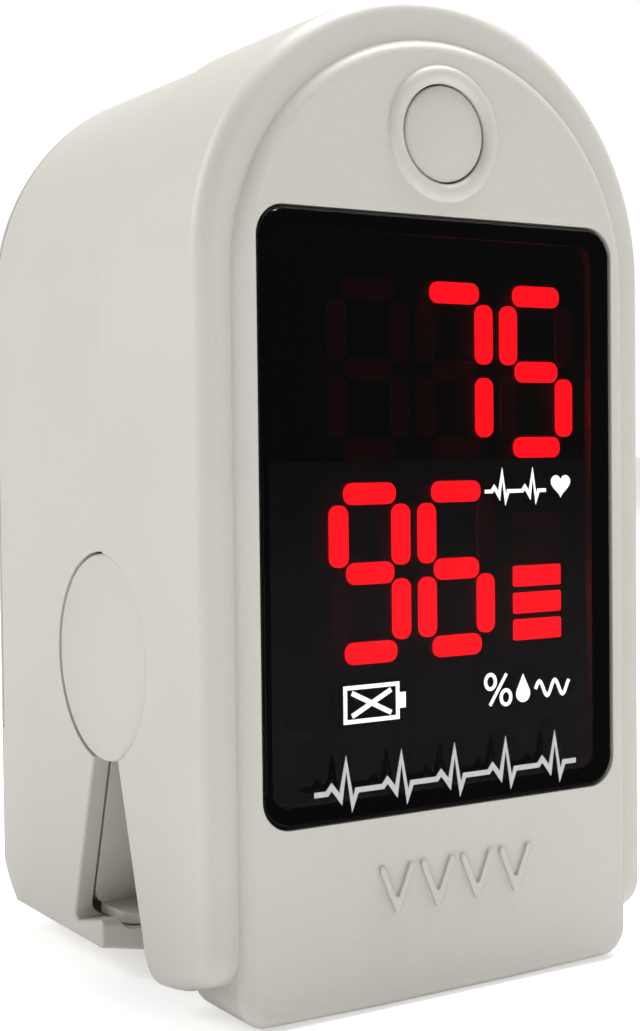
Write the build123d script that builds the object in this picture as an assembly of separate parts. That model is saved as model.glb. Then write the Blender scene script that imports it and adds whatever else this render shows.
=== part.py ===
from build123d import *
import os

# Fingertip pulse oximeter, millimetres. X runs across the display, Y from the display to the
# battery door, Z up. It stands on its press end, with the finger mouth at the top.
# Depths are measured back from the raised face, which carries the display window.

# Overall size. The button stands a little in front of the raised face.
WIDTH = 31.5
HEIGHT = 57.8
DEPTH = 32.0
HALF = WIDTH / 2
ARCH_Z = HEIGHT - HALF
BUTTON_PROUD = 0.3
FACE_Y = BUTTON_PROUD - DEPTH / 2

# Front half: a tray with a raised face.
FRONT_WALL = 1.6
SHOULDER = 0.6
SHOULDER_ROUND = 1.15
TRAY_BASE = 1.7
TOE_DEPTH = 4.3
TOE_Z = 3.0
TOE_ROUND = 2.2
VEE_FOOT_ROUND = 2.0
FACE_HALF = 13.85
FACE_ARCH_Z = 41.35
FACE_SIDE_Z = 0.15
FACE_FLAT = 5.0
FACE_CORNER = 1.8
FACE_ROUND = 0.9
FACE_WALL = 1.8
BLOCK_BACK = 6.4
BLOCK_ROUND = 0.8
FRONT_SEAM = 13.3
EDGE_ROUND = 0.2

# Display window and its light engine, which sits off the middle.
WINDOW_W = 25.0
WINDOW_H = 34.0
WINDOW_Z = 28.05
WINDOW_T = 1.2
WINDOW_R = 1.8
WINDOW_LEDGE = 1.0
WINDOW_PLAY = 0.075
MODULE_LEFT = -8.5
MODULE_RIGHT = 11.3
MODULE_LOW = 15.5
MODULE_HIGH = 42.9
MODULE_FRONT = 1.75
DIGIT_W = 5.5
DIGIT_H = 10.3
DIGIT_PITCH = 6.1
DIGIT_LEFT = -7.35
UPPER_ROW_Z = 31.2
LOWER_ROW_Z = 19.6
SEGMENT_T = 1.24
SEGMENT_L = 3.5
SEGMENT_R = 0.55
SEGMENT_DEEP = 0.15
UPRIGHT_SHIFT = 2.15
BAR_COUNT = 5
LIT_BARS = 3
BAR_LEFT = 5.75
BAR_LOW = 20.2
BAR_W = 3.6
BAR_H = 1.25
BAR_PITCH = 1.62

# Main board, button and switch.
BOARD_FRONT = 5.3
BOARD_T = 1.0
BOARD_HALF = 12.9
BOARD_LOW = 12.0
BUTTON_Z = 49.8
BUTTON_R = 2.75
BUTTON_PLAY = 0.1
BUTTON_FLANGE_R = 3.5
COLLAR_R = 3.38
COLLAR_WIRE_R = 0.6
PLUNGER_FRONT = 3.6
PLUNGER_R = 0.8
SWITCH_FRONT = 3.95
SWITCH_W = 4.5

# Raised chevrons at the press end.
CHEVRON_COUNT = 4
CHEVRON_PITCH = 2.85
CHEVRON_X = 0.4
CHEVRON_TOP = 8.8
CHEVRON_W = 2.3
CHEVRON_H = 3.3
CHEVRON_STROKE = 0.62
CHEVRON_PROUD = 0.2

# Hinge between the halves.
HINGE_DEPTH = 13.95
HINGE_Z = 19.5
CAP_R = 6.24
CAP_GAP = 0.14
CAP_IN = 14.0
PIN_R = 1.2
PIN_IN = 6.8
PIN_OUT = 14.6
EAR_R = 3.0
EAR_PLAY = 0.05
FRONT_EAR_IN = 10.2
REAR_EAR_IN = 12.05
EAR_T = 1.6
SPRING_R = 2.1
SPRING_WIRE_R = 0.28
SPRING_IN = 7.1
SPRING_SPAN = 2.6
SPRING_TURNS = 3.5
SPRING_LEG = 3.3

# Ribbon between the halves, and the slots in both frames that it runs through.
RIBBON_Z = 18.5
RIBBON_T = 0.16
RIBBON_HALF = 2.5
SLOT_HALF = 3.0
SLOT_LOW = 17.4
SLOT_HIGH = 19.6

# Below the hinge the two halves open away from each other, so that they can be squeezed.
FRONT_VEE_FOOT = 7.8
REAR_VEE_FOOT = 18.73
VEE_SLOPE = 0.302
POCKET_LOW = 14.8
POCKET_FLOOR = 15.9

# Rear half: side walls, a foot whose top dips to the rear, a fixed heel and a battery door. It is a
# little narrower than the front half, which leaves a fine step at the seam.
REAR_HALF = HALF - 0.25
REAR_WALL = 1.15
REAR_SEAM = 13.45
REAR = DEPTH - BUTTON_PROUD
REAR_ROUND = 1.8
REAR_SIDE_Z = 1.75
REAR_FLAT = 6.5
REAR_FLOOR = 2.65
HEEL_ROUND = 9.0
HEEL_WALL = 1.5
FOOT_FRONT = 14.43
FOOT_TOP = 3.5
FOOT_DIP = 2.5
DOOR_FRONT = 29.95
DOOR_LOW = 13.2
DOOR_GAP = 0.12
GRIP_COUNT = 5
GRIP_LOW = 41.0
GRIP_PITCH = 1.9
GRIP_W = 11.0
GRIP_H = 0.9
GRIP_DEEP = 0.35

# Inner frames and finger pads.
FRAME_T = 1.15
FRONT_FRAME = 7.8
REAR_FRAME = 17.5
FRAME_GAP = 0.15
TONGUE_HALF = 13.6
TONGUE_Z = 2.75
TONGUE_TOP = 3.4
TONGUE_ROUND = 1.2
TONGUE_FRONT = 14.8
COVER_Z = 3.2
PAD_LOW = 23.2
PAD_HALF = 12.4
PAD_GAP = 0.3
FINGER_DEPTH = 13.4
FINGER_HALF = 8.5
FINGER_DEEP = 3.4
FINGER_END = 24.6
MOUTH_LOW = 50.0
REAR_MOUTH_HALF = 11.2
REAR_MOUTH_DEEP = 1.9
FRONT_MOUTH_HALF = 7.4
FRONT_MOUTH_DEEP = 3.0

# Light path through the finger.
SENSOR_Z = 36.0
SENSOR_W = 6.0
SENSOR_BOARD_W = 8.4
SENSOR_BOARD_T = 0.6

# Screws.
SCREW_R = 0.7
HEAD_R = 1.1
HEAD_T = 0.6
BOSS_R = 1.5
UPPER_SCREW = (9.4, 48.4)
LOWER_SCREW = (11.2, 8.6)
LOWER_SEAT = 8.75
LOWER_BOSS = 7.95
REAR_SCREW = (12.6, 44.5)
REAR_BOSS_R = 1.3
REAR_BOSS_END = 26.0
RIB_HALF = 0.8

# Two cells, 10.5 by 44.5 with their nipples, standing head to tail.
CELL_R = 5.25
CELL_LENGTH = 43.3
NIPPLE_R = 1.9
NIPPLE_H = 1.0
CELL_X = 5.4
CELL_DEPTH = 24.5
BAY_HALF = 11.2
BAY_FRONT = 19.3
BAY_BACK = 28.0
ROOF_T = 1.0
CONTACT_LOW = 3.5
CONTACT_HIGH = 49.6
CONTACT_T = 0.4
COIL_R = 2.4
COIL_WIRE_R = 0.22
COIL_GAP = 1.4
COIL_TURNS = 1.5

# Cutting bodies reach this far past what they cut.
CLEAR = 3.0


def back(depth):
    """Y of a plane that lies this far behind the raised face."""
    return FACE_Y + depth


def slab(outline, near, far):
    """Extrude a front-view outline between two depths."""
    return extrude(Plane.XZ.offset(-back(far)) * outline, far - near, dir=(0, -1, 0))


def across(outline, left, right):
    """Extrude a side-view outline, drawn as Y and Z, from left to right."""
    return extrude(Plane.YZ.offset(left) * outline, right - left, dir=(1, 0, 0))


def side(*points):
    """Side-view polygon from depth and height pairs."""
    return Polygon(*[(back(depth), z) for depth, z in points], align=None)


def soften(outline, depth, z, radius):
    """Round the corner of a side-view outline that lies at this depth and height."""
    return fillet(outline.vertices().sort_by_distance((back(depth), z, 0))[0], radius)


def axle(radius, left, right):
    """Round bar on the hinge axis."""
    return across(Pos(back(HINGE_DEPTH), HINGE_Z) * Circle(radius), left, right)


def post(radius, x, z, near, far):
    """Round bar along Y."""
    return slab(Pos(x, z) * Circle(radius), near, far)


def block(x0, x1, near, far, z0, z1):
    """Plain box between two corners."""
    centre = Pos((x0 + x1) / 2, back((near + far) / 2), (z0 + z1) / 2)
    return centre * Box(x1 - x0, far - near, z1 - z0)


def mirrored(solid):
    """A solid with its mirror image in the middle plane."""
    return solid + mirror(solid, Plane.YZ)


def arch(half, arch_z, base_z, corner=0):
    """Front-view outline with a half-round top, straight sides and a level base."""
    outline = Pos(0, arch_z) * Circle(half)
    outline += Polygon((-half, arch_z), (-half, base_z), (half, base_z), (half, arch_z), align=None)
    low = outline.vertices().filter_by(lambda v: v.Y < arch_z - 1)
    return fillet(low, corner) if corner else outline


def crowned_arch(half, arch_z, side_z, flat, corner=0):
    """Arch outline whose base drops from side_z at its sides to a short flat at height 0."""
    outline = Pos(0, arch_z) * Circle(half)
    points = [(-half, arch_z), (-half, side_z), (-flat, 0), (flat, 0), (half, side_z), (half, arch_z)]
    outline += Polygon(*points, align=None)
    if corner:
        outline = fillet(outline.vertices().filter_by(lambda v: abs(v.Y - side_z) < 0.01), corner)
    return fillet(outline.vertices().filter_by(lambda v: abs(v.Y) < 0.01), 20)


def finger_hole(half, deep, low):
    """Upright oval hole for the finger, open at the top."""
    oval = Plane.XY.offset(low) * Pos(0, back(FINGER_DEPTH)) * Ellipse(half, deep)
    return extrude(oval, HEIGHT + CLEAR - low)


def domed_disc(radius, thick, proud, edge):
    """Disc on the XY plane whose top is a shallow dome that rises this far above its rim."""
    rim = thick - proud
    bow = (radius**2 + proud**2) / (2 * proud)
    lines = Polyline((0, thick), (0, 0), (radius, 0), (radius, rim))
    lines += RadiusArc((radius, rim), (0, thick), -bow)
    outline = make_face(lines)
    outline = fillet(outline.vertices().sort_by_distance((radius, rim, 0))[0], edge)
    return revolve(Plane.XZ * outline, Axis.Z)


def front_vee(z):
    """Depth of the front half's slanted rim at a height."""
    return FRONT_VEE_FOOT + VEE_SLOPE * (z - TRAY_BASE)


def rear_vee(z):
    """Depth of the rear half's slanted rim at a height."""
    return REAR_VEE_FOOT - VEE_SLOPE * (z - FOOT_DIP)


def rim_edges(solid, limit, facing):
    """Outer edges of the rims that a half turns towards the other one, up to a depth. The rims are
    the flat faces whose normal has at least this much of the depth direction in it."""
    rims = solid.faces().filter_by(lambda face: abs(face.normal_at().Y) > facing)
    rims = rims.filter_by(lambda face: back(FRONT_VEE_FOOT) < face.center().Y < back(limit))
    edges = ShapeList([edge for face in rims for edge in face.edges()])
    curved = edges.filter_by(lambda edge: edge.geom_type != GeomType.LINE)
    return curved + edges.filter_by(GeomType.LINE).filter_by(lambda edge: edge.bounding_box().size.X < 1)


def tray():
    """Outer body of the front half behind its shoulder, with a raised toe and a slanted rim."""
    vee_top = TRAY_BASE + (FRONT_SEAM - FRONT_VEE_FOOT) / VEE_SLOPE
    above = HEIGHT + CLEAR
    rim = [(FRONT_VEE_FOOT, TRAY_BASE), (FRONT_SEAM, vee_top), (FRONT_SEAM, above)]
    keep = side((TOE_DEPTH, TRAY_BASE), *rim, (SHOULDER, above), (SHOULDER, TOE_Z))
    keep = soften(keep, FRONT_VEE_FOOT, TRAY_BASE, VEE_FOOT_ROUND)
    keep = soften(keep, SHOULDER, TOE_Z, TOE_ROUND)
    solid = slab(arch(HALF, ARCH_Z, 0), SHOULDER, FRONT_SEAM) & across(keep, -WIDTH, WIDTH)
    front = solid.edges().group_by(Axis.Y)[0]
    solid = fillet(front.filter_by(lambda edge: edge.bounding_box().size.Z > 1), SHOULDER_ROUND)
    return fillet(rim_edges(solid, FRONT_SEAM + 1, 0.99), EDGE_ROUND)


def raised_face():
    """Solid under the raised face, which reaches below the tray at the press end."""
    outline = crowned_arch(FACE_HALF, FACE_ARCH_Z, FACE_SIDE_Z, FACE_FLAT, FACE_CORNER)
    solid = slab(outline, 0, BLOCK_BACK)
    solid = fillet(solid.edges().group_by(Axis.Y)[-1], BLOCK_ROUND)
    return fillet(solid.edges().group_by(Axis.Y)[0], FACE_ROUND)


def press_marks():
    """Row of raised chevrons that show where to squeeze."""
    tip = CHEVRON_TOP - CHEVRON_H
    arm = 1.5 * CHEVRON_STROKE
    marks = []
    for index in range(CHEVRON_COUNT):
        x = CHEVRON_X + (index - (CHEVRON_COUNT - 1) / 2) * CHEVRON_PITCH
        outline = Polygon(
            (x - CHEVRON_W / 2, CHEVRON_TOP),
            (x, tip + CHEVRON_STROKE),
            (x + CHEVRON_W / 2, CHEVRON_TOP),
            (x + CHEVRON_W / 2, CHEVRON_TOP - arm),
            (x, tip + CHEVRON_STROKE - arm),
            (x - CHEVRON_W / 2, CHEVRON_TOP - arm),
            align=None,
        )
        marks.append(slab(fillet(outline.vertices(), 0.15), -CHEVRON_PROUD, CHEVRON_PROUD))
    return marks


def window_outline(margin, corner):
    """Front-view outline of the display window, grown by a margin on every side."""
    return Pos(0, WINDOW_Z) * RectangleRounded(WINDOW_W + 2 * margin, WINDOW_H + 2 * margin, corner)


def front_shell():
    """Front half of the case."""
    shell = tray() + raised_face()
    inner = HALF - FRONT_WALL
    shell -= slab(arch(inner, ARCH_Z, TRAY_BASE + FRONT_WALL, 1.5), 3.2, FRONT_SEAM + 1)
    shell -= slab(arch(inner - 1.1, FACE_ARCH_Z, 1.9, 1.5), FACE_WALL, 3.6)
    shell -= slab(window_outline(WINDOW_PLAY, WINDOW_R), -CLEAR, WINDOW_T)
    shell -= slab(window_outline(-WINDOW_LEDGE, 1), 0, FACE_WALL + 1)
    collar = Pos(0, back(BUTTON_PROUD), BUTTON_Z) * Rot(90, 0, 0) * Torus(COLLAR_R, COLLAR_WIRE_R)
    shell += collar & post(COLLAR_R + 1, 0, BUTTON_Z, -1, 1)
    shell -= post(BUTTON_R + BUTTON_PLAY, 0, BUTTON_Z, -CLEAR, FACE_WALL + 1)
    shell -= finger_hole(FRONT_MOUTH_HALF, FRONT_MOUTH_DEEP, MOUTH_LOW)
    shell -= mirrored(axle(CAP_R + CAP_GAP, CAP_IN - 1, HALF + CLEAR))
    for (x, z), far in ((UPPER_SCREW, FRONT_FRAME), (LOWER_SCREW, LOWER_BOSS)):
        shell += mirrored(post(BOSS_R, x, z, FACE_WALL - 0.4, far))
        shell -= mirrored(post(SCREW_R, x, z, far - 4, far + 1))
    for mark in press_marks():
        shell += mark
    return shell


def display_window():
    """Smoked window, glued into the recess of the raised face."""
    window = slab(window_outline(0, WINDOW_R), 0, WINDOW_T)
    return chamfer(window.edges().group_by(Axis.Y)[0], 0.2)


def led_display_module():
    """Black block of the display, with its digits and bars on the front."""
    return block(MODULE_LEFT, MODULE_RIGHT, MODULE_FRONT, BOARD_FRONT, MODULE_LOW, MODULE_HIGH)


def light_window(x, z, wide, tall, corner):
    """Raised light window on the front of the display block."""
    outline = Pos(x, z) * RectangleRounded(wide, tall, corner)
    return slab(outline, MODULE_FRONT - SEGMENT_DEEP, MODULE_FRONT)


def segment(name, left, low):
    """One of a digit's seven segments, named a to g as usual, for a digit's lower left corner."""
    middle = low + DIGIT_H / 2
    right_x = left + DIGIT_W - SEGMENT_T / 2
    left_x = left + SEGMENT_T / 2
    levels = {"a": low + DIGIT_H - SEGMENT_T / 2, "g": middle, "d": low + SEGMENT_T / 2}
    uprights = {
        "b": (right_x, middle + UPRIGHT_SHIFT),
        "c": (right_x, middle - UPRIGHT_SHIFT),
        "e": (left_x, middle - UPRIGHT_SHIFT),
        "f": (left_x, middle + UPRIGHT_SHIFT),
    }
    if name in uprights:
        return light_window(*uprights[name], SEGMENT_T, SEGMENT_L, SEGMENT_R)
    long = SEGMENT_L - 0.3 if name == "g" else SEGMENT_L
    return light_window(left + DIGIT_W / 2, levels[name], long, SEGMENT_T, SEGMENT_R)


def bar(index):
    """One bar of the pulse graph, counted from the bottom."""
    z = BAR_LOW + BAR_H / 2 + index * BAR_PITCH
    return light_window(BAR_LEFT + BAR_W / 2, z, BAR_W, BAR_H, 0.12)


def light_windows(lit):
    """The display's lit windows, which read 75 above 96 with three bars, or its unlit ones."""
    digits = [
        (0, UPPER_ROW_Z, ""),
        (1, UPPER_ROW_Z, "abc"),
        (2, UPPER_ROW_Z, "acdfg"),
        (0, LOWER_ROW_Z, "abcdfg"),
        (1, LOWER_ROW_Z, "acdefg"),
    ]
    windows = []
    for column, low, shown in digits:
        for name in "abcdefg":
            if (name in shown) == lit:
                windows.append(segment(name, DIGIT_LEFT + column * DIGIT_PITCH, low))
    bars = range(LIT_BARS) if lit else range(LIT_BARS, BAR_COUNT)
    return Compound(windows + [bar(index) for index in bars])


def main_board():
    """Circuit board, slipped over the two upper bosses."""
    board = slab(arch(BOARD_HALF, FACE_ARCH_Z, BOARD_LOW, 1.5), BOARD_FRONT, BOARD_FRONT + BOARD_T)
    x, z = UPPER_SCREW
    return board - mirrored(post(BOSS_R + 0.1, x, z, 0, 10))


def processor_chip():
    """Main chip on the back of the board."""
    back_face = BOARD_FRONT + BOARD_T
    chip = block(-6.5, 0.5, back_face, back_face + 0.7, 22, 29)
    return chamfer(chip.edges().group_by(Axis.Y)[-1], 0.15)


def board_components():
    """Small parts soldered to the back of the board."""
    back_face = BOARD_FRONT + BOARD_T
    parts = [block(3, 7.5, back_face, back_face + 0.75, 26, 28.2)]
    parts.append(block(-3, 3, back_face, back_face + 0.65, 16.6, 20.4))
    for index in range(5):
        x = 2.6 + 1.7 * index
        parts.append(block(x, x + 0.8, back_face, back_face + 0.5, 22, 23.6))
    return Compound(parts)


def tact_switch():
    """Body of the switch behind the button, with a well for its plunger."""
    half = SWITCH_W / 2
    body = block(-half, half, SWITCH_FRONT, BOARD_FRONT, BUTTON_Z - half, BUTTON_Z + half)
    return body - post(PLUNGER_R + 0.1, 0, BUTTON_Z, SWITCH_FRONT - 1, SWITCH_FRONT + 0.9)


def switch_plunger():
    """Plunger that the button pushes into the switch."""
    return post(PLUNGER_R, 0, BUTTON_Z, PLUNGER_FRONT, SWITCH_FRONT + 0.4)


def power_button():
    """Domed button, held behind the face by its flange."""
    thick = BUTTON_PROUD + FACE_WALL + 0.1
    seat = Plane(origin=(0, back(FACE_WALL + 0.1), BUTTON_Z), z_dir=(0, -1, 0))
    cap = seat * domed_disc(BUTTON_R, thick, 0.28, 0.2)
    cap += post(BUTTON_FLANGE_R, 0, BUTTON_Z, FACE_WALL + 0.1, FACE_WALL + 0.7)
    return cap + post(0.9, 0, BUTTON_Z, FACE_WALL + 0.7, PLUNGER_FRONT)


def front_inner_frame():
    """Back of the front half: a plate behind the finger pad, a spring pocket and two hinge ears."""
    plate = FRONT_FRAME + FRAME_T
    low = TRAY_BASE + FRONT_WALL + FRAME_GAP
    rim = 0.3
    profile = side(
        (front_vee(low) - rim - FRAME_T, low),
        (front_vee(low) - rim, low),
        (front_vee(POCKET_FLOOR) - rim, POCKET_FLOOR),
        (plate, POCKET_FLOOR),
        (plate, HEIGHT),
        (FRONT_FRAME, HEIGHT),
        (FRONT_FRAME, POCKET_LOW),
        (front_vee(POCKET_LOW) - rim - FRAME_T, POCKET_LOW),
    )
    half = HALF - FRONT_WALL - FRAME_GAP
    frame = across(profile, -half, half) & slab(arch(half, ARCH_Z, low, 1.4), 0, FRONT_SEAM)
    ear_out = FRONT_EAR_IN + EAR_T
    ear = axle(EAR_R, FRONT_EAR_IN, ear_out)
    ear += block(FRONT_EAR_IN, ear_out, FRONT_FRAME + 0.5, HINGE_DEPTH, HINGE_Z - EAR_R, HINGE_Z + EAR_R)
    frame += mirrored(ear)
    frame -= axle(PIN_R, -HALF, HALF)
    frame -= block(-SLOT_HALF, SLOT_HALF, FRONT_FRAME - 1, plate + 1, SLOT_LOW, SLOT_HIGH)
    half_lens = SENSOR_W / 2
    frame -= block(-half_lens, half_lens, 0, 12, SENSOR_Z - half_lens, SENSOR_Z + half_lens)
    for (x, z), seat in ((UPPER_SCREW, plate - HEAD_T), (LOWER_SCREW, LOWER_SEAT)):
        frame -= mirrored(post(SCREW_R, x, z, 0, 12))
        frame -= mirrored(post(HEAD_R + 0.1, x, z, seat, 12))
    return frame


def front_finger_pad():
    """Soft pad on the front frame, hollowed for the top of the finger."""
    near = FRONT_FRAME + FRAME_T
    pad = slab(arch(PAD_HALF, ARCH_Z, PAD_LOW, 2), near, FRONT_SEAM - PAD_GAP)
    pad -= finger_hole(FINGER_HALF, FINGER_DEEP, FINGER_END)
    half_lens = SENSOR_W / 2
    return pad - block(-half_lens, half_lens, 0, 14, SENSOR_Z - half_lens, SENSOR_Z + half_lens)


def emitter_board():
    """Small board behind the front frame that carries the red and infrared emitters."""
    half = SENSOR_BOARD_W / 2
    far = FRONT_FRAME
    board = block(-half, half, far - SENSOR_BOARD_T, far, SENSOR_Z - half, SENSOR_Z + half)
    return board + block(-1.2, 1.2, far, far + 0.5, SENSOR_Z - 0.8, SENSOR_Z + 0.8)


def sensor_window(near, far):
    """Clear square window that lights or sees the finger, with a hollow for the chip."""
    half = SENSOR_W / 2
    window = block(-half, half, near, far, SENSOR_Z - half, SENSOR_Z + half)
    return fillet(window.edges().filter_by(Axis.Y), 0.5)


def emitter_window():
    """Clear window over the emitters."""
    near = FRONT_FRAME
    chip = block(-1.4, 1.4, near - 1, near + 0.6, SENSOR_Z - 1, SENSOR_Z + 1)
    return sensor_window(near, near + 2.1) - chip


def screw(x, z, seat, length, towards):
    """Screw along Y with a cross recess, whose shank runs from its seat to the front or the rear."""
    tip = seat + towards * length
    top = seat - towards * HEAD_T
    near, far = sorted((seat, tip))
    body = post(SCREW_R, x, z, near, far)
    near, far = sorted((seat, top))
    body += post(HEAD_R, x, z, near, far)
    for wide, tall in ((1.4, 0.32), (0.32, 1.4)):
        near, far = sorted((top, top + towards * 0.35))
        body -= block(x - wide / 2, x + wide / 2, near, far, z - tall / 2, z + tall / 2)
    return body


def front_screws():
    """Four screws that hold the front frame to the front shell."""
    upper = screw(*UPPER_SCREW, FRONT_FRAME + FRAME_T - HEAD_T, 3.6, -1)
    lower = screw(*LOWER_SCREW, LOWER_SEAT, 4.2, -1)
    return Compound([upper, mirror(upper, Plane.YZ), lower, mirror(lower, Plane.YZ)])


def hinge_pin():
    """Steel pin of the right side: fast in the front ear and the cap, free in the rear ear."""
    return chamfer(axle(PIN_R, PIN_IN, PIN_OUT).edges().filter_by(GeomType.CIRCLE), 0.15)


def hinge_cap():
    """Domed disc that covers the right side's hinge."""
    seat = Plane(origin=(CAP_IN, back(HINGE_DEPTH), HINGE_Z), z_dir=(1, 0, 0))
    cap = seat * domed_disc(CAP_R, HALF - CAP_IN, 0.3, 0.2)
    return cap - axle(PIN_R, CAP_IN - 1, PIN_OUT)


def torsion_spring():
    """Right side's wire spring on the hinge pin, with both legs down. It closes the finger end."""
    coil = Helix(pitch=SPRING_SPAN / SPRING_TURNS, height=SPRING_SPAN, radius=SPRING_R)
    start = Plane(origin=coil @ 0, z_dir=coil % 0)
    wire = sweep(start * Circle(SPRING_WIRE_R), path=coil)
    outer = (SPRING_IN + SPRING_SPAN, back(HINGE_DEPTH), HINGE_Z)
    seat = Plane(origin=outer, x_dir=(0, -1, 0), z_dir=(-1, 0, 0))
    leg = Cylinder(SPRING_WIRE_R, SPRING_LEG, align=(Align.CENTER, Align.CENTER, Align.MAX))
    front_leg = Pos(SPRING_IN + SPRING_SPAN, back(HINGE_DEPTH - SPRING_R), HINGE_Z) * leg
    rear_leg = Pos(SPRING_IN, back(HINGE_DEPTH + SPRING_R), HINGE_Z) * leg
    return seat * wire + front_leg + rear_leg


def flex_cable():
    """Ribbon from the main board through both spring pockets to the detector board."""
    rise = REAR_FRAME + FRAME_T + 0.25
    points = [
        (BOARD_FRONT + BOARD_T + 0.75, RIBBON_Z),
        (HINGE_DEPTH - 1.85, RIBBON_Z),
        (HINGE_DEPTH, RIBBON_Z + 2.6),
        (HINGE_DEPTH + 1.85, RIBBON_Z),
        (rise, RIBBON_Z),
        (rise, SENSOR_Z - SENSOR_BOARD_W / 2),
    ]
    route = FilletPolyline(*[(back(depth), z) for depth, z in points], radius=0.6)
    return across(trace(route, RIBBON_T), -RIBBON_HALF, RIBBON_HALF)


def rear_block():
    """Outer body of the rear half and its door in one."""
    solid = slab(crowned_arch(REAR_HALF, ARCH_Z, REAR_SIDE_Z, REAR_FLAT), REAR_SEAM, REAR)
    outer = solid.edges().group_by(Axis.Y)[-1]
    solid = fillet(outer.filter_by(lambda edge: edge.center().Z > HEEL_ROUND), REAR_ROUND)
    vee_top = FOOT_DIP + (REAR_VEE_FOOT - REAR_SEAM) / VEE_SLOPE
    foot = [(FOOT_FRONT, -CLEAR), (FOOT_FRONT, FOOT_TOP), (REAR_VEE_FOOT, FOOT_DIP)]
    behind = REAR + CLEAR
    above = HEIGHT + CLEAR
    keep = side((REAR_SEAM, above), (behind, above), (behind, -CLEAR), *foot, (REAR_SEAM, vee_top))
    keep = soften(keep, REAR_VEE_FOOT, FOOT_DIP, 0.4)
    keep = soften(keep, FOOT_FRONT, FOOT_TOP, 0.5)
    solid &= across(keep, -WIDTH, WIDTH)
    start = REAR - HEEL_ROUND
    heel = side((start, -CLEAR), (behind, -CLEAR), (behind, HEEL_ROUND), (start, HEEL_ROUND))
    heel -= Pos(back(start), HEEL_ROUND) * Circle(HEEL_ROUND)
    solid -= across(heel, -WIDTH, WIDTH)
    return fillet(rim_edges(solid, REAR_VEE_FOOT, 0.8), EDGE_ROUND)


def rear_shell():
    """Rear half of the case: side walls, foot and heel, open behind for the cells."""
    inner = REAR_HALF - REAR_WALL
    shell = rear_block()
    shell -= slab(arch(inner, ARCH_Z, REAR_FLOOR, 1.0), 0, REAR - HEEL_WALL)
    shell -= block(-WIDTH, WIDTH, DOOR_FRONT - DOOR_GAP, REAR + 1, DOOR_LOW, HEIGHT + 1)
    shell -= finger_hole(REAR_MOUTH_HALF, REAR_MOUTH_DEEP, MOUTH_LOW)
    shell -= mirrored(axle(CAP_R + CAP_GAP, CAP_IN - 1, HALF + CLEAR))
    body = slab(arch(inner + 0.3, ARCH_Z, 1.6, 1.4), BAY_FRONT, DOOR_FRONT - DOOR_GAP)
    shell += block(-BAY_HALF, BAY_HALF, BAY_FRONT + 0.8, BAY_BACK, REAR_FLOOR - 0.2, CONTACT_LOW)
    roof = CONTACT_HIGH + CONTACT_T
    shell += block(-REAR_HALF, REAR_HALF, BAY_FRONT, REAR, roof, roof + ROOF_T) & body
    x, z = REAR_SCREW
    plate = REAR_FRAME + FRAME_T
    boss = post(REAR_BOSS_R, x, z, plate, REAR_BOSS_END)
    boss += block(x, inner + 0.3, plate, REAR_BOSS_END, z - RIB_HALF, z + RIB_HALF)
    shell += mirrored(boss)
    return shell - mirrored(post(SCREW_R, x, z, plate - 1, plate + 4))


def battery_door():
    """Door that slides up and off the back, with shallow grooves for the thumb."""
    door = rear_block() & block(-WIDTH, WIDTH, DOOR_FRONT, REAR + 1, DOOR_LOW + DOOR_GAP, HEIGHT + 1)
    for index in range(GRIP_COUNT):
        groove = Pos(0, GRIP_LOW + index * GRIP_PITCH) * SlotOverall(GRIP_W, GRIP_H)
        door -= slab(groove, REAR - GRIP_DEEP, REAR + 1)
    return door


def rear_inner_frame():
    """Front of the rear half: a tongue on the foot, a slanted cover, a spring pocket, two ears and
    a plate behind the finger pad."""
    plate = REAR_FRAME + FRAME_T
    profile = side(
        (rear_vee(COVER_Z), COVER_Z),
        (rear_vee(POCKET_FLOOR), POCKET_FLOOR),
        (REAR_FRAME, POCKET_FLOOR),
        (REAR_FRAME, HEIGHT),
        (plate, HEIGHT),
        (plate, POCKET_LOW),
        (rear_vee(POCKET_LOW) + FRAME_T, POCKET_LOW),
        (rear_vee(COVER_Z) + FRAME_T, COVER_Z),
    )
    half = REAR_HALF - REAR_WALL - FRAME_GAP
    frame = across(profile, -half, half) & slab(arch(half, ARCH_Z, COVER_Z, 1.3), 0, REAR)
    tongue = block(-TONGUE_HALF, TONGUE_HALF, TONGUE_FRONT, REAR_VEE_FOOT, TONGUE_Z, TONGUE_TOP)
    frame += fillet(tongue.edges().filter_by(Axis.Z).group_by(Axis.Y)[0], TONGUE_ROUND)
    ear_out = REAR_EAR_IN + EAR_T
    ear = axle(EAR_R, REAR_EAR_IN, ear_out)
    ear += block(REAR_EAR_IN, ear_out, HINGE_DEPTH, REAR_FRAME + 0.5, HINGE_Z - EAR_R, HINGE_Z + EAR_R)
    frame -= mirrored(axle(CAP_R + CAP_GAP, CAP_IN - 0.2, HALF))
    frame += mirrored(ear)
    frame -= axle(PIN_R + EAR_PLAY, -HALF, HALF)
    frame -= block(-SLOT_HALF, SLOT_HALF, REAR_FRAME - 1, plate + 1, SLOT_LOW, SLOT_HIGH)
    half_lens = SENSOR_W / 2
    frame -= block(-half_lens, half_lens, 14, 22, SENSOR_Z - half_lens, SENSOR_Z + half_lens)
    x, z = REAR_SCREW
    frame -= mirrored(post(SCREW_R, x, z, 10, 22))
    return frame - mirrored(post(HEAD_R + 0.1, x, z, 10, REAR_FRAME + HEAD_T))


def rear_finger_pad():
    """Soft pad on the rear frame, hollowed for the pulp of the finger."""
    pad = slab(arch(PAD_HALF - 1.2, ARCH_Z, PAD_LOW, 2), REAR_SEAM + PAD_GAP, REAR_FRAME)
    pad -= finger_hole(FINGER_HALF, FINGER_DEEP, FINGER_END)
    half_lens = SENSOR_W / 2
    return pad - block(-half_lens, half_lens, 12, 20, SENSOR_Z - half_lens, SENSOR_Z + half_lens)


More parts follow.
